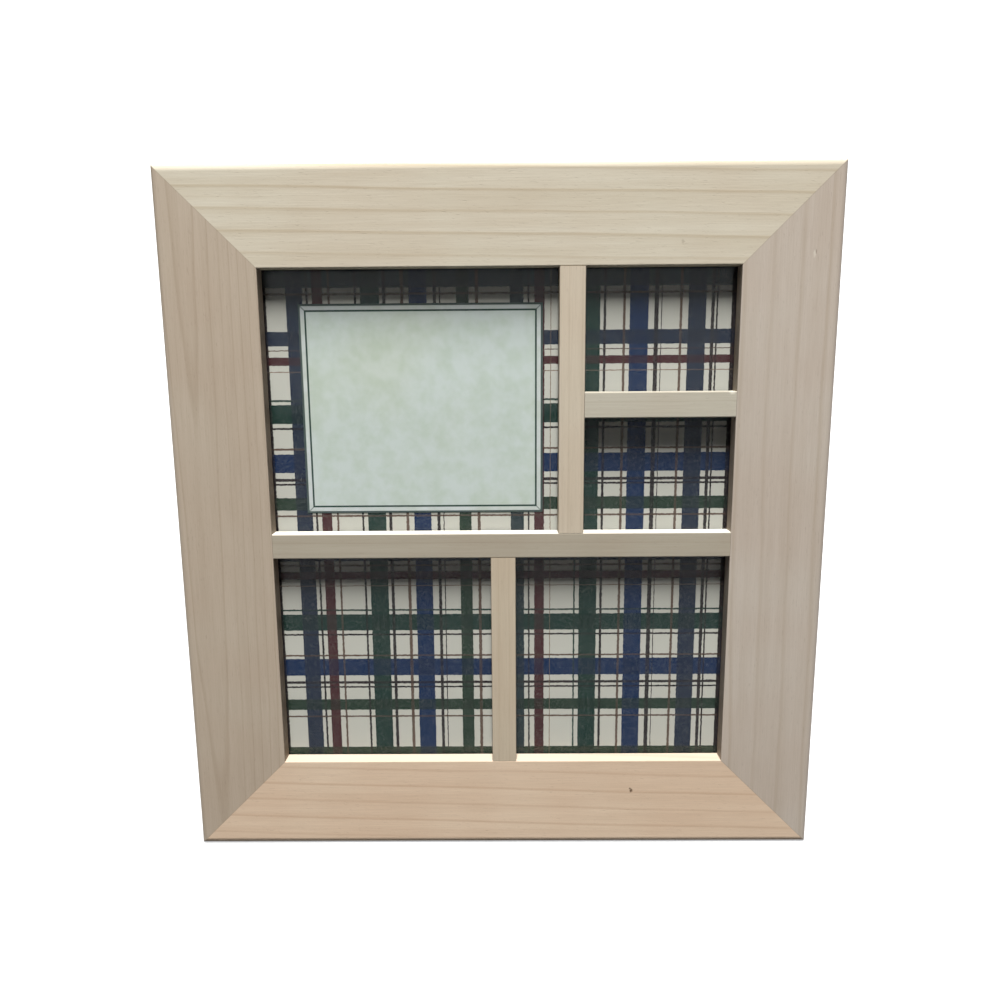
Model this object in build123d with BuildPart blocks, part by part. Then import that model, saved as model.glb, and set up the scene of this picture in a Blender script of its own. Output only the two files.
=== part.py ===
from build123d import *
import os

# A collage photo frame: four mitred wooden rails round a lattice of four bars, one pane of glass behind it, a plaid
# sheet with a bare card, a filler and a back board held by turn buttons, and a sawtooth hanger. Millimetres.
# +X is to the right and +Z is up as the frame is looked at, and the front looks along -Y. The origin is where the
# frame hangs: in the middle notch of the hanger, halfway through its plate.

# Opening inside the rails, and the rails
opening_width = 203.2
opening_height = 222.8
rail_width = 42.0
frame_thickness = 19.0
lip_depth = 7.0
rebate_width = 6.5
outer_round = 3.0
back_ease = 0.8
arris_ease = 0.5

# Lattice of bars: the windows that are set directly, and the bars' joints
divider_width = 11.1
large_window_width = 127.0
large_window_height = 114.2
upper_small_window_height = 52.4
lower_left_window_width = 97.0
tongue_shoulder = 1.8
tongue_thickness = 4.5
tongue_end_wall = 1.5
joint_clearance = 0.1

# Sheets in the rebate, from the glass back
glass_thickness = 2.0
glass_edge_gap = 0.8
glass_seam = 0.3
card_width = 106.0
card_height = 92.0
card_thickness = 0.25
card_shift_right = 3.9
card_shift_down = 3.0
insert_thickness = 0.25
board_thickness = 3.2
board_edge_gap = 0.7
board_corner_cut = 3.0

# Turn buttons and their screws
button_thickness = 1.2
button_pivot_radius = 5.2
button_tip_radius = 3.4
button_reach = 17.0
button_bend_radius = 2.0
button_tip_lift = 1.6
button_tip_run = 3.4
button_set_back = 7.6
button_place_share = 0.3
pivot_clearance = 0.05
slide_clearance = 0.05
screw_radius = 1.45
screw_length = 12.0
screw_point_length = 2.0
screw_head_radius = 2.9
screw_head_height = 1.8
screw_slot_width = 0.7
screw_slot_depth = 0.8
drive_clearance = 0.02

# Sawtooth hanger and its nails
hanger_length = 45.0
hanger_height = 9.0
hanger_thickness = 0.9
hanger_stand_off = 2.2
hanger_foot_length = 8.0
hanger_ramp_run = 2.6
hanger_bend_radius = 1.0
hanger_corner_radius = 1.2
notch_pitch = 2.4
notch_depth = 1.5
nail_radius = 0.7
nail_length = 10.0
nail_point_length = 1.0
nail_head_radius = 1.7
nail_head_height = 0.6
nail_hole_clearance = 0.1

# V nails across the mitres
v_nail_wing = 4.6
v_nail_thickness = 0.5
v_nail_depth = 10.0
v_nail_half_angle = 50.0
v_nail_sink = 0.2
v_nail_place_shares = (0.3, 0.72)

# Length that a cutting shape runs past what it cuts
cut_overrun = 1.0

# Worked out from the values above
rebate_depth = frame_thickness - lip_depth
land_width = rail_width - rebate_width
half_width = opening_width / 2
half_height = opening_height / 2
tongue_width = divider_width - 2 * tongue_shoulder
tongue_length = rebate_width - tongue_end_wall
insert_back = rebate_depth - glass_thickness - card_thickness - insert_thickness
filler_thickness = insert_back - board_thickness
hanger_out = rebate_width + land_width / 2
pivot_out = rebate_width + button_set_back

front = Vector(0, -1, 0)
back = Vector(0, 1, 0)
right = Vector(1, 0, 0)
up = Vector(0, 0, 1)

# Middle of the opening on the plane of the frame's back, below and in front of the notch that the frame hangs by
hook_height = half_height + hanger_out - hanger_height / 2 + notch_depth
hook_stand_off = hanger_stand_off + hanger_thickness / 2
middle = front * hook_stand_off - up * hook_height

# Each side of the frame by its outward direction, the distance to the opening's edge, and half the edge's length
sides = {
    "top": (up, half_height, half_width),
    "right": (right, half_width, half_height),
    "bottom": (-up, half_height, half_width),
    "left": (-right, half_width, half_height),
}

# Edges of the bars, measured from the frame's middle
main_top = half_height - large_window_height
main_bottom = main_top - divider_width
main_middle = (main_top + main_bottom) / 2
upper_left = large_window_width - half_width
upper_right = upper_left + divider_width
upper_middle = (upper_left + upper_right) / 2
small_middle = half_height - upper_small_window_height - divider_width / 2
lower_middle = lower_left_window_width - half_width + divider_width / 2


def sheet_plane(depth):
    """Plane that faces the front, the given depth in front of the frame's back, with its origin in the middle."""
    return Plane(origin=middle + front * depth, x_dir=right, z_dir=front)


def edge_plane(side):
    """Plane on the frame's back in the middle of an opening edge: x runs outwards, y runs to the front."""
    outward, distance, _ = sides[side]
    return Plane(origin=middle + outward * distance, x_dir=outward, z_dir=outward.cross(front))


def on_land(side, out, along):
    """Plane on a rail's back face, facing backwards, with x pointing at the opening."""
    outward, _, _ = sides[side]
    place = edge_plane(side).from_local_coords(Vector(out, 0, along))
    return Plane(origin=place, x_dir=-outward, z_dir=back)


def write(part, name):
    """Labels a finished piece and writes it as a file of its own."""
    part.label = name
    export_step(part, f"parts/{name}.step")


# Places that more than one piece uses
button_places = {
    f"turn_button_{side}_{number}": on_land(side, pivot_out, turn * button_place_share * 2 * half_length)
    for side, (_, _, half_length) in sides.items()
    for number, turn in ((1, -1), (2, 1))
}
hanger_place = on_land("top", hanger_out, 0)
nail_offset = (hanger_length - hanger_foot_length) / 2
nail_places = [
    Plane(origin=hanger_place.from_local_coords(Vector(0, turn * nail_offset, 0)), z_dir=back) for turn in (-1, 1)
]

os.makedirs("parts", exist_ok=True)


# Bars of the lattice
def bar_plane(start, along):
    """Plane across a bar on the glass, with y running to the front."""
    return Plane(origin=middle + start + front * rebate_depth, x_dir=front.cross(along), z_dir=along)


def bar_section(start, along):
    """Section of a bar: flat, with eased front edges."""
    with BuildSketch(bar_plane(start, along)) as section:
        Rectangle(divider_width, lip_depth, align=(Align.CENTER, Align.MIN))
        fillet(section.vertices().group_by(Axis.Y)[-1], radius=arris_ease)
    return section.sketch


def tongue_section(start, along):
    """Section of the tongues, at the back half of a bar."""
    with BuildSketch(bar_plane(start, along)) as section:
        Rectangle(tongue_width, tongue_thickness, align=(Align.CENTER, Align.MIN))
    return section.sketch


def socket(end, outward):
    """Socket for the tongue that leaves a bar's end, open at the glass."""
    with BuildPart() as cutter:
        with BuildSketch(bar_plane(end - outward * cut_overrun, outward)):
            with Locations((0, -cut_overrun)):
                Rectangle(
                    tongue_width + 2 * joint_clearance,
                    cut_overrun + tongue_thickness + joint_clearance,
                    align=(Align.CENTER, Align.MIN),
                )
        extrude(amount=cut_overrun + tongue_length + joint_clearance)
    return cutter.part


# Each bar by the two ends of its middle line, from the frame's middle
bar_ends = {
    "divider_main": (Vector(-half_width, 0, main_middle), Vector(half_width, 0, main_middle)),
    "divider_upper": (Vector(upper_middle, 0, main_top), Vector(upper_middle, 0, half_height)),
    "divider_small": (Vector(upper_right, 0, small_middle), Vector(half_width, 0, small_middle)),
    "divider_lower": (Vector(lower_middle, 0, -half_height), Vector(lower_middle, 0, main_bottom)),
}

bar_along = {name: (end - start).normalized() for name, (start, end) in bar_ends.items()}
sockets = {
    name: [socket(start, -bar_along[name]), socket(end, bar_along[name])] for name, (start, end) in bar_ends.items()
}

for name, (start, end) in bar_ends.items():
    along = bar_along[name]
    length = (end - start).length
    with BuildPart() as divider:
        extrude(bar_section(start, along), amount=length)
        extrude(tongue_section(start - along * tongue_length, along), amount=length + 2 * tongue_length)
        for other in sockets:
            if other != name:
                add(sockets[other], mode=Mode.SUBTRACT)
    write(divider.part, name)

# V nails, each a bent strip whose fold lies on the mitre and points at the opening
v_nail_places = [
    Location(
        (across * (half_width + rebate_width + share * land_width),
         upright * (half_height + rebate_width + share * land_width),
         0),
        (0, 0, Vector(across, upright, 0).get_signed_angle(right) * -1),
    )
    for across in (-1, 1)
    for upright in (-1, 1)
    for share in v_nail_place_shares
]


def v_nails(growth, sink):
    """All the V nails, each outline grown by the given amount, starting the given depth under the back face."""
    half_thickness = v_nail_thickness / 2 + growth
    along_wing = Vector(1, 0).rotate(Axis.Z, v_nail_half_angle)
    wing_end = along_wing * (v_nail_wing + growth)
    beside = Vector(-along_wing.Y, along_wing.X) * half_thickness
    fold = half_thickness / along_wing.Y
    upper = [wing_end + beside, wing_end - beside]
    lower = [Vector(corner.X, -corner.Y) for corner in reversed(upper)]
    with BuildPart() as nails:
        with BuildSketch(sheet_plane(sink)):
            with Locations(*v_nail_places):
                Polygon((-fold, 0), *upper, (fold, 0), *lower, align=None)
        extrude(amount=v_nail_depth + growth + v_nail_sink - sink)
    return nails.part


write(v_nails(0, v_nail_sink), "corner_v_nails")
v_nail_slots = v_nails(drive_clearance, 0)


# Rails, mitred at both ends and rebated at the back
def rail_section(side):
    """Section of a rail: flat face, rounded outer front edge, rebate behind the lip."""
    with BuildSketch(edge_plane(side)) as section:
        with BuildLine():
            FilletPolyline(
                (0, rebate_depth),
                (0, frame_thickness),
                (rail_width, frame_thickness),
                (rail_width, 0),
                (rebate_width, 0),
                (rebate_width, rebate_depth),
                radius=[0, arris_ease, outer_round, back_ease, 0, 0],
                close=True,
            )
        make_face()
    return section.sketch


for side, (outward, distance, half_length) in sides.items():
    along = outward.cross(front)
    with BuildPart() as rail:
        extrude(rail_section(side), amount=half_length + rail_width, both=True)
        for turn in (-1, 1):
            corner = middle + outward * distance + along * turn * half_length
            split(bisect_by=Plane(origin=corner, z_dir=outward - along * turn), keep=Keep.TOP)
        for ends in sockets.values():
            add(ends, mode=Mode.SUBTRACT)
        add(v_nail_slots, mode=Mode.SUBTRACT)
        with Locations(*[place for name, place in button_places.items() if side in name]):
            Hole(radius=screw_radius + drive_clearance, depth=screw_length)
        with Locations(*nail_places):
            Hole(radius=nail_radius + drive_clearance, depth=nail_length)
    write(rail.part, f"rail_{side}")

# Pane of glass with seamed edges, resting on the lips and the bars
with BuildPart() as glass_pane:
    with BuildSketch(sheet_plane(rebate_depth - glass_thickness)):
        edge_room = 2 * (rebate_width - glass_edge_gap)
        Rectangle(opening_width + edge_room, opening_height + edge_room)
    extrude(amount=glass_thickness)
    chamfer(glass_pane.edges(), length=glass_seam)
write(glass_pane.part, "glass_pane")

# Card in the large window, bare here
with BuildPart() as label_card:
    with BuildSketch(sheet_plane(insert_back + insert_thickness)):
        card_middle_x = large_window_width / 2 - half_width + card_shift_right
        card_middle_y = half_height - large_window_height / 2 - card_shift_down
        with Locations((card_middle_x, card_middle_y)):
            Rectangle(card_width, card_height)
    extrude(amount=card_thickness)
write(label_card.part, "label_card")

# Plaid sheet, filler and back board, one behind the other
board_room = 2 * (rebate_width - board_edge_gap)
sheet_size = (opening_width + board_room, opening_height + board_room)

with BuildPart() as plaid_insert:
    with BuildSketch(sheet_plane(insert_back)):
        Rectangle(*sheet_size)
    extrude(amount=insert_thickness)
write(plaid_insert.part, "plaid_insert")

with BuildPart() as filler_board:
    with BuildSketch(sheet_plane(board_thickness)):
        Rectangle(*sheet_size)
    extrude(amount=filler_thickness)
write(filler_board.part, "filler_board")

with BuildPart() as backing_board:
    with BuildSketch(sheet_plane(0)) as board_face:
        Rectangle(*sheet_size)
        chamfer(board_face.vertices(), length=board_corner_cut)
    extrude(amount=board_thickness)
write(backing_board.part, "backing_board")

# Turn buttons: a teardrop of sheet steel with its tip curled up for the thumb
button_tip = button_reach + button_tip_radius
for name, place in button_places.items():
    with BuildPart() as turn_button:
        with BuildSketch(Plane(origin=place.origin, x_dir=place.x_dir, z_dir=place.x_dir.cross(place.z_dir))):
            with BuildLine():
                FilletPolyline(
                    (-button_pivot_radius, slide_clearance),
                    (button_tip - button_tip_run, slide_clearance),
                    (button_tip + button_tip_run, slide_clearance + 2 * button_tip_lift),
                    radius=button_bend_radius,
                )
                offset(amount=button_thickness, side=Side.LEFT)
            make_face()
        extrude(amount=button_pivot_radius, both=True)
        with BuildSketch(place):
            Circle(button_pivot_radius)
            with Locations((button_reach, 0)):
                Circle(button_tip_radius)
            make_hull()
        extrude(amount=2 * (button_thickness + button_tip_lift), mode=Mode.INTERSECT)
        with BuildSketch(place):
            Circle(screw_radius + pivot_clearance)
        extrude(amount=slide_clearance + button_thickness + cut_overrun, mode=Mode.SUBTRACT)
    write(turn_button.part, name)

# One round-head screw, its shank down into the wood from the underside of its head
head_seat = slide_clearance + button_thickness + slide_clearance
with BuildPart() as screw:
    with BuildSketch(Plane.XZ):
        with BuildLine():
            Polyline(
                (0, head_seat - screw_length),
                (screw_radius, head_seat - screw_length + screw_point_length),
                (screw_radius, head_seat),
                (screw_head_radius, head_seat),
            )
            TangentArc((0, head_seat + screw_head_height), (screw_head_radius, head_seat), tangent=(1, 0))
            Line((0, head_seat + screw_head_height), (0, head_seat - screw_length))
        make_face()
    revolve(axis=Axis.Z)
    with BuildSketch(Plane.XY.offset(head_seat + screw_head_height - screw_slot_depth)):
        Rectangle(2 * screw_head_radius, screw_slot_width)
    extrude(amount=screw_slot_depth + cut_overrun, mode=Mode.SUBTRACT)

with BuildPart() as turn_button_screws:
    with Locations(*button_places.values()):
        add(screw.part)
write(turn_button_screws.part, "turn_button_screws")

# Sawtooth hanger: a bridge raised off the wood, with notches along the edge nearer the opening
bridge_length = hanger_length - 2 * (hanger_foot_length + hanger_ramp_run)
notch_count = 1 + 2 * int((bridge_length / notch_pitch - 1) / 2)
hanger_edge = hanger_place.origin - hanger_place.x_dir * hanger_height / 2
with BuildPart() as hanger_top:
    with BuildSketch(Plane(origin=hanger_edge, x_dir=hanger_place.y_dir, z_dir=hanger_place.x_dir)):
        with BuildLine():
            FilletPolyline(
                (-hanger_length / 2, 0),
                (-hanger_length / 2 + hanger_foot_length, 0),
                (-bridge_length / 2, hanger_stand_off),
                (bridge_length / 2, hanger_stand_off),
                (hanger_length / 2 - hanger_foot_length, 0),
                (hanger_length / 2, 0),
                radius=hanger_bend_radius,
            )
            offset(amount=hanger_thickness, side=Side.LEFT)
        make_face()
    extrude(amount=hanger_height)
    thin_edges = hanger_top.edges().filter_by(Axis.Y).group_by(Axis(hanger_place.origin, hanger_place.y_dir))
    fillet(thin_edges[0] + thin_edges[-1], radius=hanger_corner_radius)
    with BuildSketch(hanger_place.offset(hanger_stand_off - cut_overrun)):
        with Locations((hanger_height / 2, 0)):
            with GridLocations(0, notch_pitch, 1, notch_count):
                Polygon((0, -notch_pitch / 2), (0, notch_pitch / 2), (-notch_depth, 0), align=None)
    extrude(amount=hanger_thickness + 2 * cut_overrun, mode=Mode.SUBTRACT)
    with Locations(*[place.offset(hanger_thickness) for place in nail_places]):
        Hole(radius=nail_radius + nail_hole_clearance, depth=hanger_thickness + cut_overrun)
write(hanger_top.part, "hanger_top")

# One small nail with a flat head that sits on the hanger's foot
with BuildPart() as nail:
    with BuildSketch(Plane.XZ):
        with BuildLine():
            Polyline(
                (0, hanger_thickness - nail_length),
                (nail_radius, hanger_thickness - nail_length + nail_point_length),
                (nail_radius, hanger_thickness),
                (nail_head_radius, hanger_thickness),
                (nail_head_radius, hanger_thickness + nail_head_height),
                (0, hanger_thickness + nail_head_height),
                close=True,
            )
        make_face()
    revolve(axis=Axis.Z)

with BuildPart() as hanger_nails:
    with Locations(*nail_places):
        add(nail.part)
write(hanger_nails.part, "hanger_nails")
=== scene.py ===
# %% [markdown]
# # A collage photo frame in bare wood
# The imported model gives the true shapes: four mitred rails, a lattice of four bars, a pane of glass, a plaid sheet
# with a bare card, a filler, a back board held by turn buttons, and a sawtooth hanger. This lesson gives each of
# them the finish that it has on the real product, then sets up the floor, the light and the camera.

# %% Load the model
import math

import bpy
from mathutils import Matrix, Vector


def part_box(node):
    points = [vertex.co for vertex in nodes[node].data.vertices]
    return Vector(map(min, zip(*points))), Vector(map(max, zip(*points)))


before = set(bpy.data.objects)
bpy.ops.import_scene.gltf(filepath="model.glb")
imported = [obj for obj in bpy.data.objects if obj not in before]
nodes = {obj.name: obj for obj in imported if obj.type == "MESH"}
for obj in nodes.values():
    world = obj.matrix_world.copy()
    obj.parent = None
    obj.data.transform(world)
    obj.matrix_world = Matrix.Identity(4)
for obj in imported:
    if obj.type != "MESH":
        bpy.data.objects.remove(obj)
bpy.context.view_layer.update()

# %% [markdown]
# ## Where things are
# Every pattern below is laid out from the middle of the frame's back, in metres: x to the right, y away from us and
# z up. The numbers come from the boxes of the pieces, so that a pattern stays in place when the model is packed
# again.

# %% Find the frame's middle
outer_low, outer_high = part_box("rail_bottom")[0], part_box("rail_top")[1]
left_low, right_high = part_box("rail_left")[0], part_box("rail_right")[1]
middle = Vector(((left_low.x + right_high.x) / 2, outer_high.y, (outer_low.z + outer_high.z) / 2))
half_opening = Vector((
    (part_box("divider_main")[1].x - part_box("divider_main")[0].x) / 2 - 0.005,
    0,
    (outer_high.z - outer_low.z) / 2 - (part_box("rail_top")[1].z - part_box("rail_top")[0].z),
))
print("middle", middle, "half the opening", half_opening)

# %% [markdown]
# ## Small helpers for shader nodes
# A material is a tree of nodes. Building one by hand means adding a node, setting it and joining it to the next,
# again and again, so a few short helpers do that: `place` adds a node, `feed` joins or sets a socket, `reckon` and
# `move` do one step of arithmetic on numbers and on positions, `blend_colours` mixes two colours by a share,
# `spread` stretches a value over another range, and `cloud` is soft noise.

# %% Add and join nodes
def paint(red, green, blue):
    """A colour as a paint program gives it, 0 to 255, made linear for a shader."""
    return [*((c / 255 / 12.92) if c <= 10 else ((c / 255 + 0.055) / 1.055) ** 2.4 for c in (red, green, blue)), 1]


def place(tree, kind, **settings):
    """Adds a node of this kind with its settings."""
    node = tree.nodes.new("ShaderNode" + kind)
    for setting, value in settings.items():
        setattr(node, setting, value)
    return node


def feed(tree, socket, value):
    """Joins a socket to another one, or sets it to a plain value."""
    if isinstance(value, bpy.types.NodeSocket):
        tree.links.new(value, socket)
    else:
        socket.default_value = value


def reckon(tree, step, *values):
    """One step of arithmetic on numbers."""
    node = place(tree, "Math", operation=step)
    for socket, value in zip(node.inputs, values):
        feed(tree, socket, value)
    return node.outputs["Value"]


def move(tree, step, *values):
    """One step of arithmetic on positions."""
    node = place(tree, "VectorMath", operation=step)
    for socket, value in zip(node.inputs, values):
        feed(tree, socket, value)
    return node.outputs["Value" if step == "LENGTH" else "Vector"]


def blend_colours(tree, share, first, second, way="MIX"):
    """The first colour, with this share of the second laid over it."""
    node = place(tree, "Mix", data_type="RGBA", blend_type=way)
    feed(tree, node.inputs["Factor"], share)
    feed(tree, node.inputs[6], first)
    feed(tree, node.inputs[7], second)
    return node.outputs[2]


def spread(tree, value, low, high, to_low=0.0, to_high=1.0):
    """Stretches the part of a value between low and high over another range."""
    node = place(tree, "MapRange")
    for socket, number in zip(node.inputs, (value, low, high, to_low, to_high)):
        feed(tree, socket, number)
    return node.outputs["Result"]


def cloud(tree, where, scale, detail=2.0, roughness=0.5):
    """Soft noise: its value, and its three colours as a shift."""
    node = place(tree, "TexNoise")
    feed(tree, node.inputs["Vector"], where)
    feed(tree, node.inputs["Scale"], scale)
    feed(tree, node.inputs["Detail"], detail)
    feed(tree, node.inputs["Roughness"], roughness)
    return node.outputs[0], node.outputs[1]


print("a middle grey reads", [round(c, 3) for c in paint(128, 128, 128)])

# %% [markdown]
# A node group is a little tree with named inputs and outputs. An effect that several materials need, such as wood
# grain, is built once as a group and then placed in each of them with its own values.

# %% Start a group or a finish
def new_group(title, takes, gives):
    """An empty node group with its inputs and outputs: (group, inputs' sockets, outputs' sockets)."""
    group = bpy.data.node_groups.new(title, "ShaderNodeTree")
    for name, kind, value in takes:
        group.interface.new_socket(name, in_out="INPUT", socket_type="NodeSocket" + kind).default_value = value
    for name, kind in gives:
        group.interface.new_socket(name, in_out="OUTPUT", socket_type="NodeSocket" + kind)
    return group, group.nodes.new("NodeGroupInput").outputs, group.nodes.new("NodeGroupOutput").inputs


def use_group(tree, group, **values):
    """Places a group in a material with its values, and gives its outputs."""
    node = place(tree, "Group", node_tree=group)
    for name, value in values.items():
        feed(tree, node.inputs[name.replace("_", " ").capitalize()], value)
    return node.outputs


def new_finish(title):
    """An empty material: (material, its tree, its shader, place from the frame's middle)."""
    finish = bpy.data.materials.new(title)
    finish.use_nodes = True
    tree = finish.node_tree
    where = move(tree, "SUBTRACT", place(tree, "TexCoord").outputs["Object"], middle)
    return finish, tree, tree.nodes["Principled BSDF"], where


def dress(finish, *names):
    """Gives pieces their finish."""
    for name in names:
        for slot in nodes[name].material_slots:
            slot.material = finish
    print(finish.name, "on", ", ".join(names))


# %% [markdown]
# ## Wood grain
# A board is a slice of a tree, so its lines are the tree's rings where the slice cuts them. The group works the
# same way: it measures how far a point is from the tree's middle and cuts that distance into rings. Each ring grows
# slowly darker and ends with a sharp edge, as late wood does. A board cut from near the middle shows arches, and
# one cut far from it shows straight lines. Lean tips the tree's middle towards the face, and drift lets the lines
# run slightly askew. The stretches say how many waves of noise fit in a metre along and across the board: few along
# it and many across it give streaks and fibres, and short dark dashes are the pores.

# %% Build the grain
grain, given, out = new_group(
    "grain",
    [("Board", "Vector", (0, 0, 0)), ("Heart", "Vector", (0, 0.1, 0)), ("Lean", "Float", 0.0),
     ("Drift", "Float", 0.0), ("Ring gap", "Float", 0.01), ("Waver", "Float", 0.004), ("Start", "Float", 0.0)],
    [("Late wood", "Float"), ("Streaks", "Float"), ("Fibres", "Float"), ("Pores", "Float"), ("Height", "Float")],
)
shift = place(grain, "CombineXYZ")
feed(grain, shift.inputs[0], given["Start"])
board = move(grain, "ADD", given["Board"], shift.outputs[0])
bend_stretch, streak_stretch = (7, 38, 38), (9, 240, 240)
fibre_stretch, pore_stretch = (55, 2100, 2100), (330, 3400, 3400)
bend = cloud(grain, move(grain, "MULTIPLY", board, bend_stretch), 1.0, 2.0)[1]
bend = move(grain, "SUBTRACT", bend, (0.5, 0.5, 0.5))
scaled_bend = place(grain, "VectorMath", operation="SCALE")
feed(grain, scaled_bend.inputs[0], bend)
feed(grain, scaled_bend.inputs["Scale"], given["Waver"])
wavy = move(grain, "ADD", given["Board"], scaled_bend.outputs[0])
parts = place(grain, "SeparateXYZ")
feed(grain, parts.inputs[0], move(grain, "SUBTRACT", wavy, given["Heart"]))
deep = reckon(grain, "MULTIPLY_ADD", parts.outputs[0], given["Lean"], parts.outputs[2])
across = reckon(grain, "MULTIPLY_ADD", parts.outputs[0], given["Drift"], parts.outputs[1])
across_two = reckon(grain, "MULTIPLY", across, across)
radius = reckon(grain, "SQRT", reckon(grain, "MULTIPLY_ADD", deep, deep, across_two))
rings = reckon(grain, "DIVIDE", radius, given["Ring gap"])
year = place(grain, "TexWhiteNoise", noise_dimensions="1D")
feed(grain, year.inputs["W"], reckon(grain, "FLOOR", rings))
season = place(grain, "ValToRGB")
feed(grain, season.inputs[0], reckon(grain, "FRACT", rings))
for share, dark in ((0.5, 0.03), (0.8, 0.14), (0.91, 1.0), (0.95, 0.75)):
    season.color_ramp.elements.new(share).color = (dark, dark, dark, 1)
season.color_ramp.elements[0].color = season.color_ramp.elements[-1].color = (0, 0, 0, 1)
late = reckon(grain, "MULTIPLY", season.outputs["Color"], spread(grain, year.outputs["Value"], 0, 1, 0.55, 1.0))
feed(grain, out["Late wood"], late)
streaks = cloud(grain, move(grain, "MULTIPLY", board, streak_stretch), 1.0, 3.0)[0]
fibres = cloud(grain, move(grain, "MULTIPLY", board, fibre_stretch), 1.0, 3.0, 0.6)[0]
pores = spread(grain, cloud(grain, move(grain, "MULTIPLY", board, pore_stretch), 1.0, 1.0)[0], 0.66, 0.76)
feed(grain, out["Streaks"], streaks)
feed(grain, out["Fibres"], fibres)
feed(grain, out["Pores"], pores)
feed(grain, out["Height"], reckon(grain, "SUBTRACT", reckon(grain, "MULTIPLY_ADD", late, 0.3, fibres), pores))
print("grain has", len(grain.nodes), "nodes")

# %% [markdown]
# ## Joints and marks
# Where two rails meet at 45 degrees, a hair's width of shade shows between them. It lies where the distances past
# the opening's two edges are equal, so a mask of their difference draws it. A mark, such as a pit or a nick, is a
# small round mask whose rim is broken up by noise.

# %% Build the mitre line and the mark
mitre, given, out = new_group(
    "mitre line", [("Place", "Vector", (0, 0, 0)), ("Opening", "Vector", (0.1, 0, 0.1))], [("Line", "Float")]
)
past = place(mitre, "SeparateXYZ")
feed(mitre, past.inputs[0], move(mitre, "SUBTRACT", move(mitre, "ABSOLUTE", given["Place"]), given["Opening"]))
apart = reckon(mitre, "ABSOLUTE", reckon(mitre, "SUBTRACT", past.outputs[0], past.outputs[2]))
feed(mitre, out["Line"], spread(mitre, apart, 0.00008, 0.0003, 1.0, 0.0))

mark, given, out = new_group(
    "mark", [("Place", "Vector", (0, 0, 0)), ("Spot", "Vector", (0, 0, 0)), ("Size", "Vector", (0.001, 0.01, 0.001))],
    [("Mark", "Float")],
)
off = move(mark, "DIVIDE", move(mark, "SUBTRACT", given["Place"], given["Spot"]), given["Size"])
rim = cloud(mark, given["Place"], 1400.0)[0]
feed(mark, out["Mark"], spread(mark, reckon(mark, "ADD", move(mark, "LENGTH", off), rim), 1.0, 1.7, 1.0, 0.0))
print("groups", [g.name for g in bpy.data.node_groups])

# %% [markdown]
# ## Bare wood
# The frame isn't stained or varnished: it is sanded, pale and satin-matt. Each rail comes from a board of its own,
# so it has its own tone and its own place in the tree. The grain runs along the rail, so the left and right rails
# swap their axes before the group reads them. The sides of the windows are darkened with painted shade, and the
# upper faces of two pieces are made paler with painted light from above. Both masks come from the way a face points,
# so they stay where they are in every view.

# %% Mix a wood finish for one piece
# The window-side tone paints shade on the sides of the windows; the upper-face tone paints light on faces that point
# up.
fibre_tone, pore_tone, window_side_shade_tone = paint(112, 92, 70), paint(96, 76, 56), paint(78, 60, 46)
warm_tint, upper_face_light_tone, joint_tone = paint(222, 190, 170), paint(236, 230, 216), paint(92, 74, 56)
grain_relief, window_side_shade_share, joint_share = 0.0001, 0.5, 0.25


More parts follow.
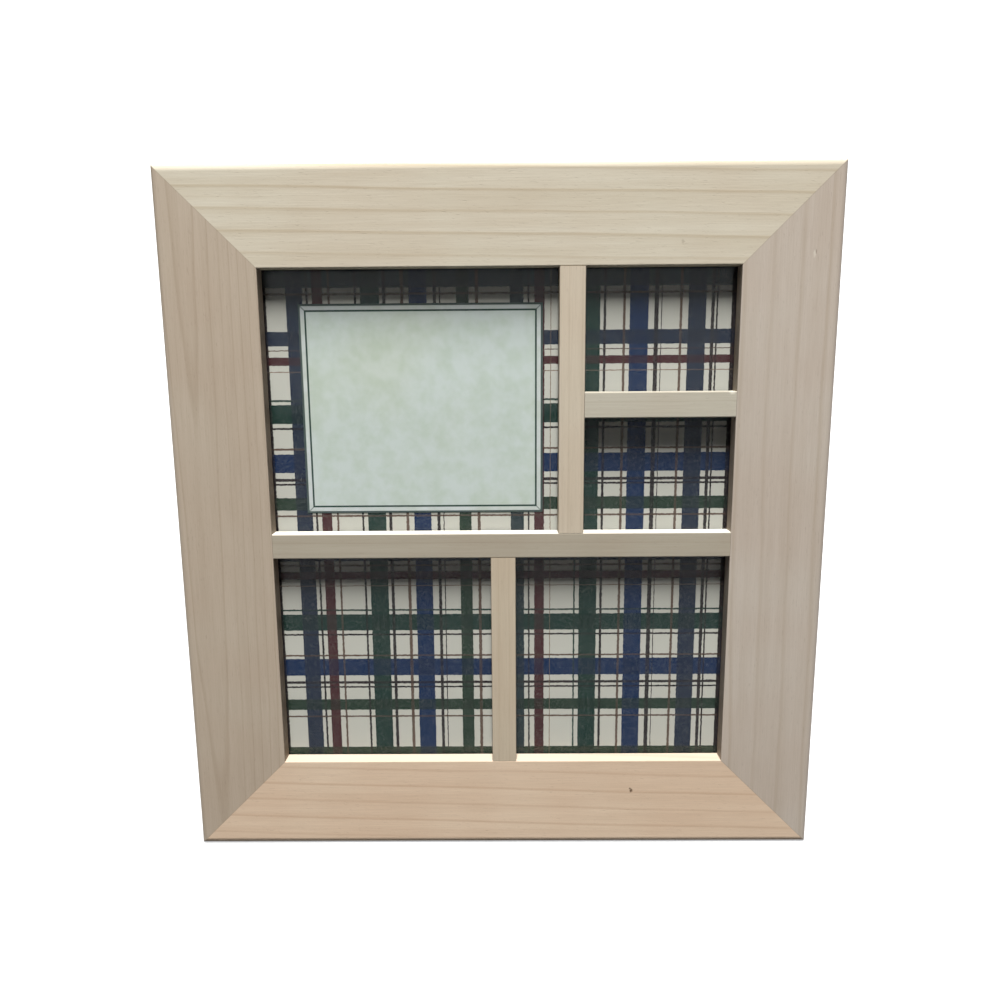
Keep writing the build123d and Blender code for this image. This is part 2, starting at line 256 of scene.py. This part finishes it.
def wood(node, along, pale, dark, heart, gap, waver, start, lean=0.0, drift=0.0, upper_face_light=0.0, marks=()):
    """Bare wood whose grain runs along x or z, in its own tone. Upper face light paints light on its upper faces."""
    finish, tree, shader, where = new_finish("wood_" + node)
    low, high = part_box(node)
    centre = (low + high) / 2 - middle
    split = place(tree, "SeparateXYZ")
    feed(tree, split.inputs[0], move(tree, "SUBTRACT", where, centre))
    turned = place(tree, "CombineXYZ")
    for socket, axis in zip(turned.inputs, (0, 2, 1) if along == "x" else (2, 0, 1)):
        feed(tree, socket, split.outputs[axis])
    seen = use_group(tree, grain, board=turned.outputs[0], heart=heart, lean=lean, drift=drift, ring_gap=gap,
                     waver=waver, start=start)
    tone = blend_colours(tree, reckon(tree, "MULTIPLY", seen["Late wood"], 0.9), pale, dark)
    tone = blend_colours(tree, spread(tree, seen["Streaks"], 0.35, 0.7, 0.0, 0.4), tone, dark)
    tone = blend_colours(tree, spread(tree, seen["Fibres"], 0.35, 0.7, 0.0, 0.1), tone, fibre_tone)
    tone = blend_colours(tree, reckon(tree, "MULTIPLY", seen["Pores"], 0.16), tone, pore_tone)
    warm = cloud(tree, where, 26.0, 1.0)[0]
    tone = blend_colours(tree, spread(tree, warm, 0.35, 0.65, 0.0, 0.12), tone, warm_tint, "MULTIPLY")
    facing = place(tree, "SeparateXYZ")
    feed(tree, facing.inputs[0], place(tree, "NewGeometry").outputs["Normal"])
    sideways = reckon(tree, "GREATER_THAN", reckon(tree, "ABSOLUTE", facing.outputs[0]), 0.7)
    from_middle = reckon(tree, "ABSOLUTE", reckon(tree, "ADD", split.outputs[0], centre.x))
    shaded_window_side = reckon(tree, "MULTIPLY", sideways, reckon(tree, "LESS_THAN", from_middle, half_opening.x + 0.002))
    # Painted shade: the sides of the windows are darkened towards a brown tone.
    tone = blend_colours(tree, reckon(tree, "MULTIPLY", shaded_window_side, window_side_shade_share), tone, window_side_shade_tone)
    # Painted light: faces that point up are made paler.
    if upper_face_light:
        tone = blend_colours(tree, spread(tree, facing.outputs[2], 0.5, 0.9, 0.0, upper_face_light), tone, upper_face_light_tone)
    height = seen["Height"]
    if node.startswith("rail"):
        line = use_group(tree, mitre, place=where, opening=half_opening)["Line"]
        tone = blend_colours(tree, reckon(tree, "MULTIPLY", line, joint_share), tone, joint_tone)
    for x, z, width, tallness, strength, colour in marks:
        spot = use_group(tree, mark, place=where, spot=(x, front, z), size=(width, 0.004, tallness))["Mark"]
        tone = blend_colours(tree, reckon(tree, "MULTIPLY", spot, strength), tone, colour)
        height = reckon(tree, "SUBTRACT", height, spot)
    bump = place(tree, "Bump")
    feed(tree, bump.inputs["Strength"], 0.3)
    feed(tree, bump.inputs["Distance"], grain_relief)
    feed(tree, bump.inputs["Height"], height)
    feed(tree, shader.inputs["Base Color"], tone)
    feed(tree, shader.inputs["Normal"], bump.outputs[0])
    feed(tree, shader.inputs["Roughness"], spread(tree, seen["Fibres"], 0.3, 0.7, 0.5, 0.66))
    feed(tree, shader.inputs["Specular IOR Level"], 0.35)
    dress(finish, node)


# %% [markdown]
# Each piece says its pale and dark tone, where the tree's middle lies behind its face, how far apart the rings are,
# how much they waver and how far along the tree it was cut. Marks are listed by place, size, strength and tone: a
# pit in the bottom rail, a nick in the right one, a dent in the top one and a torn fibre on the small bar.

# %% The four rails
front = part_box("rail_top")[0].y - middle.y
shade, fibre = paint(84, 62, 44), paint(236, 229, 212)
# The top and bottom rails are paler than the upright ones: partly their boards' own tone, partly painted sheen of
# light from above on level grain.
wood("rail_top", "x", pale=paint(211, 203, 184), dark=paint(190, 177, 153), heart=(0, -0.123, 0.02), gap=0.00855,
     waver=0.003, start=0.0, drift=0.018, marks=[(0.0764, 0.1206, 0.0007, 0.0011, 0.2, shade)])
wood("rail_left", "z", pale=paint(186, 172, 154), dark=paint(173, 158, 139), heart=(0, -0.009, 0.0014), gap=0.00343,
     waver=0.003, start=3.0, lean=0.02)
wood("rail_right", "z", pale=paint(194, 183, 170), dark=paint(180, 167, 151), heart=(0, 0.14, 0.01), gap=0.0115,
     waver=0.006, start=7.0, drift=0.01,
     marks=[(0.1319, 0.1163, 0.0003, 0.0010, 0.4, shade), (0.1312, 0.1155, 0.0005, 0.0016, 0.35, fibre)])
wood("rail_bottom", "x", pale=paint(227, 204, 178), dark=paint(208, 181, 154), heart=(0, 0.1316, 0.03), gap=0.0082,
     waver=0.003, start=11.0, drift=0.03, upper_face_light=0.25,
     marks=[(0.0602, -0.1265, 0.0008, 0.0010, 0.9, shade), (0.0596, -0.1256, 0.0005, 0.0005, 0.8, shade)])

# %% The four bars
wood("divider_main", "x", pale=paint(176, 168, 151), dark=paint(168, 158, 140), heart=(0, 0.09, 0.02), gap=0.0046,
     waver=0.002, start=15.0, upper_face_light=1.0)
wood("divider_upper", "z", pale=paint(206, 194, 174), dark=paint(194, 181, 160), heart=(0, 0.08, 0.03), gap=0.0052,
     waver=0.002, start=19.0)
wood("divider_small", "x", pale=paint(194, 188, 172), dark=paint(184, 176, 158), heart=(0, 0.10, 0.01), gap=0.0050,
     waver=0.002, start=23.0, marks=[(0.0996, 0.0586, 0.0013, 0.0009, 0.6, fibre)])
wood("divider_lower", "z", pale=paint(199, 185, 163), dark=paint(187, 171, 147), heart=(0, 0.11, 0.02), gap=0.0048,
     waver=0.002, start=27.0)

# %% [markdown]
# ## The plaid sheet
# The sheet is printed with a traditional plaid: wide bands of navy, maroon, green and blue with thin lines beside
# them, over cream. Two lists say where each band starts and ends, in millimetres from the sheet's middle. A colour
# ramp with constant steps turns a position into a band's colour, and its alpha says whether there is a band at all.
# A ramp holds 32 steps, so each direction uses two of them.

# %% Inks and bands
inks = {
    "navy": paint(32, 42, 60), "maroon": paint(69, 36, 40), "green": paint(22, 49, 44), "blue": paint(15, 40, 76),
    "moss": paint(34, 53, 42), "slate": paint(37, 51, 56), "black": paint(43, 37, 40), "brown": paint(100, 80, 70),
    "tan": paint(142, 122, 106), "fir": paint(44, 64, 57),
}
# The first and last upright bands, beside the left and right rails' lips, are partly print lines and partly painted
# shade cast by the lips.
upright_bands = [
    (-104.0, -101.0, "black"), (-92.3, -85.3, "navy"), (-83.8, -83.0, "black"), (-81.2, -76.8, "maroon"),
    (-74.2, -73.4, "brown"), (-63.1, -61.9, "black"), (-60.3, -52.2, "green"), (-50.6, -49.5, "black"),
    (-42.8, -41.4, "brown"), (-39.5, -31.5, "blue"), (-28.9, -27.4, "black"), (-26.4, -25.7, "black"),
    (-18.7, -13.3, "moss"), (-10.6, -9.5, "brown"), (4.4, 10.3, "slate"), (12.1, 12.9, "black"),
    (14.9, 19.2, "maroon"), (21.7, 22.3, "tan"), (32.7, 33.6, "fir"), (35.4, 43.4, "green"),
    (45.0, 46.1, "black"), (53.1, 54.2, "brown"), (56.1, 64.2, "blue"), (66.8, 68.4, "black"),
    (69.5, 70.2, "black"), (77.7, 78.9, "brown"), (81.2, 88.9, "navy"), (91.1, 92.8, "black"),
    (93.5, 94.1, "black"), (100.1, 103.5, "black"),
]
level_bands = [
    (-113.4, -108.3, "moss"), (-93.3, -92.4, "brown"), (-89.8, -84.5, "moss"), (-78.5, -77.7, "black"),
    (-76.8, -75.4, "black"), (-72.6, -64.5, "blue"), (-63.0, -62.2, "brown"), (-52.9, -52.2, "black"),
    (-50.7, -42.6, "green"), (-41.2, -40.3, "fir"), (-29.4, -28.7, "tan"), (-26.1, -22.3, "maroon"),
    (-19.7, -19.1, "brown"), (-17.3, -10.9, "navy"), (3.1, 3.9, "brown"), (6.4, 12.0, "moss"),
    (17.9, 18.6, "black"), (19.3, 20.8, "black"), (23.5, 31.7, "blue"), (33.4, 34.3, "brown"),
    (42.6, 43.4, "black"), (45.4, 53.7, "green"), (55.2, 56.1, "fir"), (67.8, 68.3, "tan"),
    (70.6, 74.5, "maroon"), (76.8, 77.3, "brown"), (79.2, 85.1, "navy"), (100.5, 101.4, "brown"),
    (103.7, 113.5, "slate"),
]
print(len(upright_bands), "bands upright,", len(level_bands), "level")

# %% [markdown]
# The print shows the two directions woven through each other. Where only one band runs, its own colour shows. Where
# two cross, the result is their average, a little darker. A fine slanting hatch, its stripes a quarter of a
# millimetre wide, stands for the twill weave that the printer copied. The paper is matt, so its own shine is set low.

# %% Turn a position into a band
def bands(tree, value, table):
    """Colour and cover of the band at a position in millimetres."""
    half = len(table) // 2
    cut = (table[half - 1][1] + table[half][0]) / 2
    answers = []
    for some in (table[:half], table[half:]):
        start, end = some[0][0] - 1.0, some[-1][1] + 1.0
        ramp = place(tree, "ValToRGB")
        ramp.color_ramp.interpolation = "CONSTANT"
        feed(tree, ramp.inputs[0], spread(tree, value, start, end))
        steps = ramp.color_ramp.elements
        steps[0].color = steps[1].color = (0, 0, 0, 0)
        steps[1].position = 1.0
        for low, high, ink in some:
            steps.new((low - start) / (end - start)).color = inks[ink]
            steps.new((high - start) / (end - start)).color = (0, 0, 0, 0)
        answers.append(ramp.outputs)
    later = reckon(tree, "GREATER_THAN", value, cut)
    colour = blend_colours(tree, later, answers[0]["Color"], answers[1]["Color"])
    cover = reckon(tree, "MULTIPLY_ADD", later, reckon(tree, "SUBTRACT", answers[1]["Alpha"], answers[0]["Alpha"]),
                   answers[0]["Alpha"])
    return colour, cover


# %% Print the plaid
plaid, tree, shader, where = new_finish("plaid_print")
ink_creep, to_millimetres, hatch_pace = (0.0006, 0.0006, 0.0006), (1000, 1000, 1000), 9.0
fuzz = move(tree, "SUBTRACT", cloud(tree, where, 900.0)[1], (0.5, 0.5, 0.5))
fuzzy = move(tree, "MULTIPLY_ADD", fuzz, ink_creep, where)
spot = place(tree, "SeparateXYZ")
feed(tree, spot.inputs[0], move(tree, "MULTIPLY", fuzzy, to_millimetres))
upright, upright_cover = bands(tree, spot.outputs[0], upright_bands)
level, level_cover = bands(tree, spot.outputs[2], level_bands)
diagonal = reckon(tree, "ADD", spot.outputs[0], spot.outputs[2])
slant = reckon(tree, "SINE", reckon(tree, "MULTIPLY", diagonal, hatch_pace))
hatch = spread(tree, slant, -0.3, 0.3, 0.36, 0.64)
cream = paint(203, 199, 189)
one_way = blend_colours(tree, upright_cover, cream, upright)
crossing = blend_colours(tree, reckon(tree, "MULTIPLY", upright_cover, hatch), level, upright)
double_ink = reckon(tree, "MULTIPLY", reckon(tree, "MULTIPLY", upright_cover, level_cover), 0.25)
crossing = blend_colours(tree, double_ink, crossing, (0, 0, 0, 1))
print_colour = blend_colours(tree, level_cover, one_way, crossing)
speck = cloud(tree, where, 1300.0, 2.0)[0]
any_cover = reckon(tree, "MAXIMUM", upright_cover, level_cover)
faded = reckon(tree, "MULTIPLY", spread(tree, speck, 0.5, 0.75, 0.0, 0.09), any_cover)
print_colour = blend_colours(tree, faded, print_colour, cream)
dull = cloud(tree, where, 60.0, 2.0)[0]
print_colour = blend_colours(tree, spread(tree, dull, 0.3, 0.7, 0.0, 0.04), print_colour, paint(120, 112, 100))
feed(tree, shader.inputs["Base Color"], print_colour)
feed(tree, shader.inputs["Roughness"], spread(tree, speck, 0.3, 0.7, 0.55, 0.7))
feed(tree, shader.inputs["Specular IOR Level"], 0.15)
dress(plaid, "plaid_insert")

# %% [markdown]
# ## The card
# The card in the large window is pale, faintly mottled paper with a double line round it: a dark edge, a light
# strip and a fine dark green line, with a short slanting line at each corner, like the mitres of a tiny frame. How
# deep a point lies inside the card's edge picks its colour from a ramp.

# %% Print the card's border
card, tree, shader, where = new_finish("card_paper")
card_low, card_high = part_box("label_card")
card_centre = (card_low + card_high) / 2 - middle
card_half = (card_high - card_low) / 2
inside = place(tree, "SeparateXYZ")
away = move(tree, "ABSOLUTE", move(tree, "SUBTRACT", where, card_centre))
feed(tree, inside.inputs[0], move(tree, "SUBTRACT", card_half, away))
edge = reckon(tree, "MINIMUM", inside.outputs[0], inside.outputs[2])
border_reach, edge_ends, strip_ends, line_ends = 0.005, 0.0009, 0.0026, 0.0034
border = place(tree, "ValToRGB")
border.color_ramp.interpolation = "CONSTANT"
feed(tree, border.inputs[0], spread(tree, edge, 0.0, border_reach))
steps = border.color_ramp.elements
steps[0].color, steps[1].color = paint(84, 96, 94), paint(202, 207, 204)
steps[1].position = line_ends / border_reach
steps.new(edge_ends / border_reach).color = paint(206, 208, 208)
steps.new(strip_ends / border_reach).color = paint(58, 78, 72)
mottle = cloud(tree, where, 160.0, 4.0, 0.6)[0]
paper = border.outputs["Color"]
paper = blend_colours(tree, spread(tree, mottle, 0.38, 0.66), paper, paint(243, 246, 239), "MULTIPLY")
yellowing = cloud(tree, where, 18.0, 1.0)[0]
paper = blend_colours(tree, spread(tree, yellowing, 0.45, 0.7, 0.0, 0.25), paper, paint(250, 247, 226), "MULTIPLY")
corner = reckon(tree, "ABSOLUTE", reckon(tree, "SUBTRACT", inside.outputs[0], inside.outputs[2]))
corner = reckon(tree, "MULTIPLY", spread(tree, corner, 0.0001, 0.0004, 1.0, 0.0),
                reckon(tree, "LESS_THAN", edge, 0.003))
paper = blend_colours(tree, reckon(tree, "MULTIPLY", corner, 0.8), paper, paint(70, 88, 82))
feed(tree, shader.inputs["Base Color"], paper)
feed(tree, shader.inputs["Roughness"], spread(tree, mottle, 0.3, 0.7, 0.5, 0.65))
feed(tree, shader.inputs["Specular IOR Level"], 0.3)
dress(card, "label_card")

# %% [markdown]
# ## Glass
# A pane that really bends light leaves what is behind it in shade, because lamps can't reach it through the glass.
# So for rays that look for a lamp the pane is plainly see-through, and for all others it is glass. Its mirror tint
# is low, so that the white room round the frame doesn't veil the print.

# %% Make the pane clear
glass, tree, shader, where = new_finish("clear_glass")
feed(tree, shader.inputs["Base Color"], (0.975, 0.993, 0.987, 1))
feed(tree, shader.inputs["Transmission Weight"], 1.0)
feed(tree, shader.inputs["IOR"], 1.5)
feed(tree, shader.inputs["Specular Tint"], (0.25, 0.25, 0.25, 1))
dust = cloud(tree, where, 34.0, 4.0)[0]
feed(tree, shader.inputs["Roughness"], spread(tree, dust, 0.4, 0.8, 0.0, 0.06))
see_through = place(tree, "BsdfTransparent")
feed(tree, see_through.inputs["Color"], (0.97, 0.98, 0.975, 1))
choice = place(tree, "MixShader")
feed(tree, choice.inputs[0], place(tree, "LightPath").outputs["Is Shadow Ray"])
feed(tree, choice.inputs[1], shader.outputs[0])
feed(tree, choice.inputs[2], see_through.outputs[0])
feed(tree, tree.nodes["Material Output"].inputs["Surface"], choice.outputs[0])
dress(glass, "glass_pane")

# %% [markdown]
# ## Plated steel
# Turn buttons, screws, the hanger and its nails are steel with a thin coat of zinc. Tumbling in the plating drum
# leaves fine scratches in all directions and a cloudy, slightly yellow or blue cast. One group makes both, and each
# finish places it.

# %% Build the plating
plating, given, out = new_group(
    "plating", [("Place", "Vector", (0, 0, 0)), ("Cloud size", "Float", 120.0)],
    [("Cast", "Float"), ("Scratches", "Float"), ("Dull", "Float")],
)
feed(plating, out["Cast"], cloud(plating, given["Place"], given["Cloud size"], 3.0)[0])
first = cloud(plating, move(plating, "MULTIPLY", given["Place"], (500, 500, 9000)), 1.0, 1.0)[0]
second = cloud(plating, move(plating, "MULTIPLY", given["Place"], (9000, 500, 500)), 1.0, 1.0)[0]
feed(plating, out["Scratches"], reckon(plating, "MAXIMUM", spread(plating, first, 0.62, 0.72),
                                       spread(plating, second, 0.62, 0.72)))
feed(plating, out["Dull"], cloud(plating, given["Place"], 700.0, 4.0, 0.65)[0])
print("plating has", len(plating.nodes), "nodes")

# %% Mix the steel finishes
def plated(title, bright, cast, shine, *names):
    """Zinc-plated steel in its own brightness."""
    finish, tree, shader, where = new_finish(title)
    seen = use_group(tree, plating, place=where, cloud_size=140.0)
    tone = blend_colours(tree, spread(tree, seen["Cast"], 0.35, 0.65), bright, cast)
    tone = blend_colours(tree, reckon(tree, "MULTIPLY", seen["Scratches"], 0.3), tone, paint(240, 240, 236))
    feed(tree, shader.inputs["Base Color"], tone)
    feed(tree, shader.inputs["Metallic"], 1.0)
    feed(tree, shader.inputs["Roughness"], spread(tree, seen["Dull"], 0.3, 0.7, shine, shine + 0.18))
    bump = place(tree, "Bump")
    feed(tree, bump.inputs["Strength"], 0.12)
    feed(tree, bump.inputs["Distance"], 0.00005)
    feed(tree, bump.inputs["Height"], reckon(tree, "ADD", seen["Scratches"], seen["Dull"]))
    feed(tree, shader.inputs["Normal"], bump.outputs[0])
    dress(finish, *names)


buttons = [name for name in nodes if name.startswith("turn_button_") and name != "turn_button_screws"]
plated("bright_zinc", paint(206, 206, 204), paint(184, 190, 196), 0.28, *buttons)
plated("screw_zinc", paint(198, 196, 184), paint(178, 180, 178), 0.3, "turn_button_screws", "hanger_nails")
plated("hanger_zinc", paint(204, 200, 180), paint(180, 184, 186), 0.26, "hanger_top")
plated("v_nail_steel", paint(150, 150, 150), paint(120, 122, 126), 0.4, "corner_v_nails")

# %% [markdown]
# ## Hardboard and cardboard
# The back board is hardboard, pressed from wood fibre: dark brown, with short pale and dark fibres on a smooth
# face. The filler behind the print is plain brown cardboard, with faint lines where its flutes show through.

# %% Press the hardboard
hardboard, tree, shader, where = new_finish("hardboard")
long_way = cloud(tree, move(tree, "MULTIPLY", where, (1500, 900, 420)), 1.0, 4.0, 0.6)[0]
wide_way = cloud(tree, move(tree, "MULTIPLY", where, (420, 900, 1500)), 1.0, 4.0, 0.6)[0]
tone = blend_colours(tree, spread(tree, long_way, 0.52, 0.72), paint(112, 78, 52), paint(150, 112, 78))
tone = blend_colours(tree, spread(tree, wide_way, 0.56, 0.74), tone, paint(78, 52, 34))
patches = cloud(tree, where, 22.0, 2.0)[0]
tone = blend_colours(tree, spread(tree, patches, 0.35, 0.65, 0.0, 0.35), tone, paint(140, 102, 70))
feed(tree, shader.inputs["Base Color"], tone)
feed(tree, shader.inputs["Roughness"], spread(tree, long_way, 0.3, 0.7, 0.42, 0.62))
bump = place(tree, "Bump")
feed(tree, bump.inputs["Strength"], 0.3)
feed(tree, bump.inputs["Distance"], 0.0001)
feed(tree, bump.inputs["Height"], reckon(tree, "ADD", long_way, wide_way))
feed(tree, shader.inputs["Normal"], bump.outputs[0])
dress(hardboard, "backing_board")

# %% Press the cardboard
cardboard, tree, shader, where = new_finish("cardboard")
axes = place(tree, "SeparateXYZ")
feed(tree, axes.inputs[0], where)
flute_pace = 1800.0
flutes = reckon(tree, "SINE", reckon(tree, "MULTIPLY", axes.outputs[0], flute_pace))
pulp = cloud(tree, where, 900.0, 4.0, 0.6)[0]
tone = blend_colours(tree, spread(tree, pulp, 0.35, 0.7), paint(186, 148, 106), paint(160, 122, 84))
tone = blend_colours(tree, spread(tree, flutes, -1, 1, 0.0, 0.1), tone, paint(120, 90, 60))
feed(tree, shader.inputs["Base Color"], tone)
feed(tree, shader.inputs["Roughness"], spread(tree, pulp, 0.3, 0.7, 0.75, 0.9))
dress(cardboard, "filler_board")

# %% [markdown]
# ## Floor and backdrop
# The frame stands on a pale studio floor that curves up into a wall behind it, so that no line shows where they
# meet. One plane makes both: its far edge is extruded upwards, and the fold is bevelled round. The floor glows for
# the camera alone, more so far from the frame, so that it looks white while it throws hardly any light on the wood.

# %% Make the studio floor
bpy.ops.object.select_all(action="DESELECT")
floor_level = outer_low.z
floor_width, floor_depth, wall_place, wall_height, fold_size = 6, 4, 1.0, 2.6, 0.5
bpy.ops.mesh.primitive_plane_add(size=1, location=(0, 0, 0))
studio = bpy.context.object
studio.name = "studio_floor"
bpy.ops.object.mode_set(mode="EDIT")
bpy.ops.transform.resize(value=(floor_width, floor_depth, 1))
bpy.ops.transform.translate(value=(0, wall_place - floor_depth / 2, floor_level))
bpy.ops.object.mode_set(mode="OBJECT")
for edge_line in studio.data.edges:
    edge_line.select = all(studio.data.vertices[v].co.y > wall_place - 0.1 for v in edge_line.vertices)
for corner_point in studio.data.vertices:
    corner_point.select = corner_point.co.y > wall_place - 0.1
for face in studio.data.polygons:
    face.select = False
bpy.ops.object.mode_set(mode="EDIT")
bpy.ops.mesh.select_mode(type="EDGE")
bpy.ops.mesh.extrude_region_move(TRANSFORM_OT_translate={"value": (0, 0, wall_height)})
bpy.ops.object.mode_set(mode="OBJECT")
print("studio corners", [tuple(round(c, 2) for c in v.co) for v in studio.data.vertices])

# %% Round the fold and paint it
bpy.ops.object.mode_set(mode="EDIT")
bpy.ops.mesh.select_all(action="DESELECT")
bpy.ops.object.mode_set(mode="OBJECT")
for edge_line in studio.data.edges:
    ends = [studio.data.vertices[v].co for v in edge_line.vertices]
    edge_line.select = all(abs(end.z - floor_level) < 0.001 and end.y > wall_place - 0.1 for end in ends)
bpy.ops.object.mode_set(mode="EDIT")
bpy.ops.mesh.bevel(offset=fold_size, segments=24, affect="EDGES")
bpy.ops.mesh.select_all(action="SELECT")
bpy.ops.mesh.normals_make_consistent(inside=False)
bpy.ops.object.mode_set(mode="OBJECT")
bpy.ops.object.shade_smooth()
pale = bpy.data.materials.new("pale_studio")
pale.use_nodes = True
tree = pale.node_tree
shader = tree.nodes["Principled BSDF"]
path = place(tree, "LightPath").outputs
seen_grey, bounce_grey, near_glow, far_glow = 0.4, 0.06, 0.45, 1.0
feed(tree, shader.inputs["Base Color"], spread(tree, path["Diffuse Depth"], 0, 1, seen_grey, bounce_grey))
feed(tree, shader.inputs["Roughness"], 0.9)
feed(tree, shader.inputs["Emission Color"], (1, 1, 1, 1))
far_off = move(tree, "LENGTH", move(tree, "SUBTRACT", place(tree, "TexCoord").outputs["Object"], middle))
glow = spread(tree, far_off, 0.45, 1.6, near_glow, far_glow)
feed(tree, shader.inputs["Emission Strength"], reckon(tree, "MULTIPLY", path["Is Camera Ray"], glow))
studio.data.materials.append(pale)
print("studio has", len(studio.data.polygons), "faces")

# %% [markdown]
# ## Light
# The light comes from above: the upper faces of the bars and of the bottom rail shine, the sides of the opening are
# dark, and the top rail throws a soft band of shade on the print. One broad lamp high in front gives that light, a
# small one behind shows the back, and the world fills the shade. Rays that bend through the glass would meet the
# broad lamp a second time, after its light was already counted at the print, so that lamp doesn't show in gloss or
# behind glass.

# %% Set the world and the lamps
world = bpy.data.worlds.new("studio_world")
bpy.context.scene.world = world
world.use_nodes = True
tree = world.node_tree
sky = tree.nodes["Background"]
feed(tree, sky.inputs["Color"], (1, 1, 1, 1))
path = place(tree, "LightPath")
seen_as_white = reckon(tree, "MAXIMUM", path.outputs["Is Camera Ray"], path.outputs["Is Glossy Ray"])
seen_as_white = reckon(tree, "MAXIMUM", seen_as_white, path.outputs["Is Transmission Ray"])
first_hit = reckon(tree, "LESS_THAN", path.outputs["Diffuse Depth"], 0.5)
seen_as_white = reckon(tree, "MULTIPLY", seen_as_white, first_hit)
feed(tree, sky.inputs["Strength"], spread(tree, seen_as_white, 0, 1, 0.05, 1.0))


def lamp(title, spot, power, width, height, shines):
    """A rectangular lamp that faces the frame's middle, and may show in gloss."""
    light = bpy.data.lights.new(title, "AREA")
    light.shape, light.size, light.size_y, light.energy = "RECTANGLE", width, height, power
    holder = bpy.data.objects.new(title, light)
    bpy.context.collection.objects.link(holder)
    holder.location = middle + Vector(spot)
    holder.rotation_euler = (-Vector(spot)).to_track_quat("-Z", "Y").to_euler()
    holder.visible_camera = False
    holder.visible_glossy = holder.visible_transmission = shines
    print(title, "at", tuple(round(c, 2) for c in holder.location))


lamp("overhead_lamp", spot=(-0.02, -1.1, 2.5), power=156.0, width=0.4, height=1.15, shines=False)
lamp("rear_lamp", spot=(0.25, 0.82, 1.0), power=18.0, width=0.8, height=0.5, shines=True)

# %% [markdown]
# ## Camera
# The picture was taken from close by, a little above the frame's middle, tilted down and very slightly turned and
# rolled. That is why the frame looks narrower at its foot. The lens follows from how strongly it narrows.

# %% Place the camera
down, turn, roll = math.radians(10.11), math.radians(0.44), math.radians(-0.42)
ahead = Vector((-math.sin(turn) * math.cos(down), math.cos(turn) * math.cos(down), -math.sin(down)))
level_right = Vector((math.cos(turn), math.sin(turn), 0))
level_up = level_right.cross(ahead)
right_hand = level_right * math.cos(roll) + level_up * math.sin(roll)
up_hand = level_up * math.cos(roll) - level_right * math.sin(roll)
lens = bpy.data.cameras.new("camera")
lens.lens, lens.sensor_width, lens.sensor_fit = 28.8, 36.0, "HORIZONTAL"
lens.clip_start = 0.01
camera = bpy.data.objects.new("camera", lens)
bpy.context.collection.objects.link(camera)
place_seen_from = middle + Vector((0.0024, -0.365, 0.0740))
turned = Matrix((right_hand, up_hand, -ahead)).transposed()
camera.matrix_world = Matrix.Translation(place_seen_from) @ turned.to_4x4()
bpy.context.scene.camera = camera
bpy.context.scene.view_settings.view_transform = "Standard"
print("camera at", tuple(round(c, 4) for c in place_seen_from))
